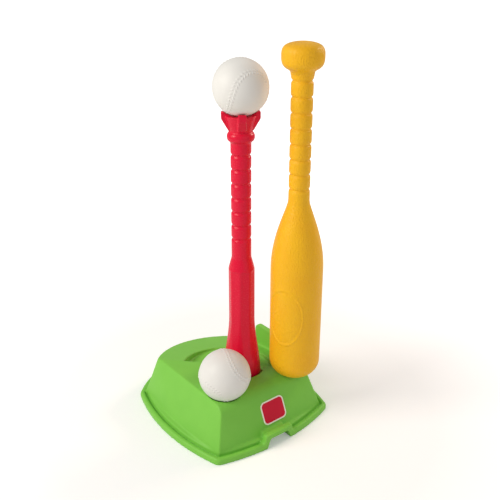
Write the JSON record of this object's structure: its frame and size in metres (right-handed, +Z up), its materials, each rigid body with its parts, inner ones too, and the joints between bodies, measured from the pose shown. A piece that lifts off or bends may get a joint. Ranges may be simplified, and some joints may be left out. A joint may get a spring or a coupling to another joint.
{
  "type": "toddler batting tee",
  "caption": "Toddler batting tee: broad moulded base with a ball rest and finger notch, ribbed tee post with a pronged cradle, hollow play balls and a fat-barrelled bat.",
  "frame": {"origin": "the tee's axis where its socket stands on the ground", "axes": "+Z up along the tee post, -Y towards the base's front corner, +X towards the bat"},
  "size_m": [0.352, 0.352, 0.6593],
  "materials": {
    "base_green": "satin moulded",
    "tee_red": "semi-gloss moulded",
    "ball_white": "satin moulded",
    "bat_yellow": "fine-grained satin",
    "badge_red": "glossy film"
  },
  "bodies": {
    "base": {"base_shell": "base_green", "badge": "badge_red"},
    "tee": {"tee_post": "tee_red"},
    "ball_on_tee": {"tee_ball": "ball_white"},
    "ball_in_base": {"stored_ball": "ball_white"},
    "bat_body": {"bat": "bat_yellow"}
  },
  "joints": [
    {"name": "tee_lift", "type": "slide", "parent": "base", "child": "tee", "axis": [0, 0, 1], "range_m": [0, 0.1]},
    {"name": "tee_ball_lift", "type": "slide", "parent": "tee", "child": "ball_on_tee", "axis": [0, 0, 1], "range_m": [0, 0.06]},
    {"name": "stored_ball_lift", "type": "slide", "parent": "base", "child": "ball_in_base", "axis": [0, 0, 1], "range_m": [0, 0.06]},
    {"name": "bat_lift", "type": "slide", "parent": "base", "child": "bat_body", "axis": [0, 0, 1], "range_m": [0, 0.1]}
  ]
}
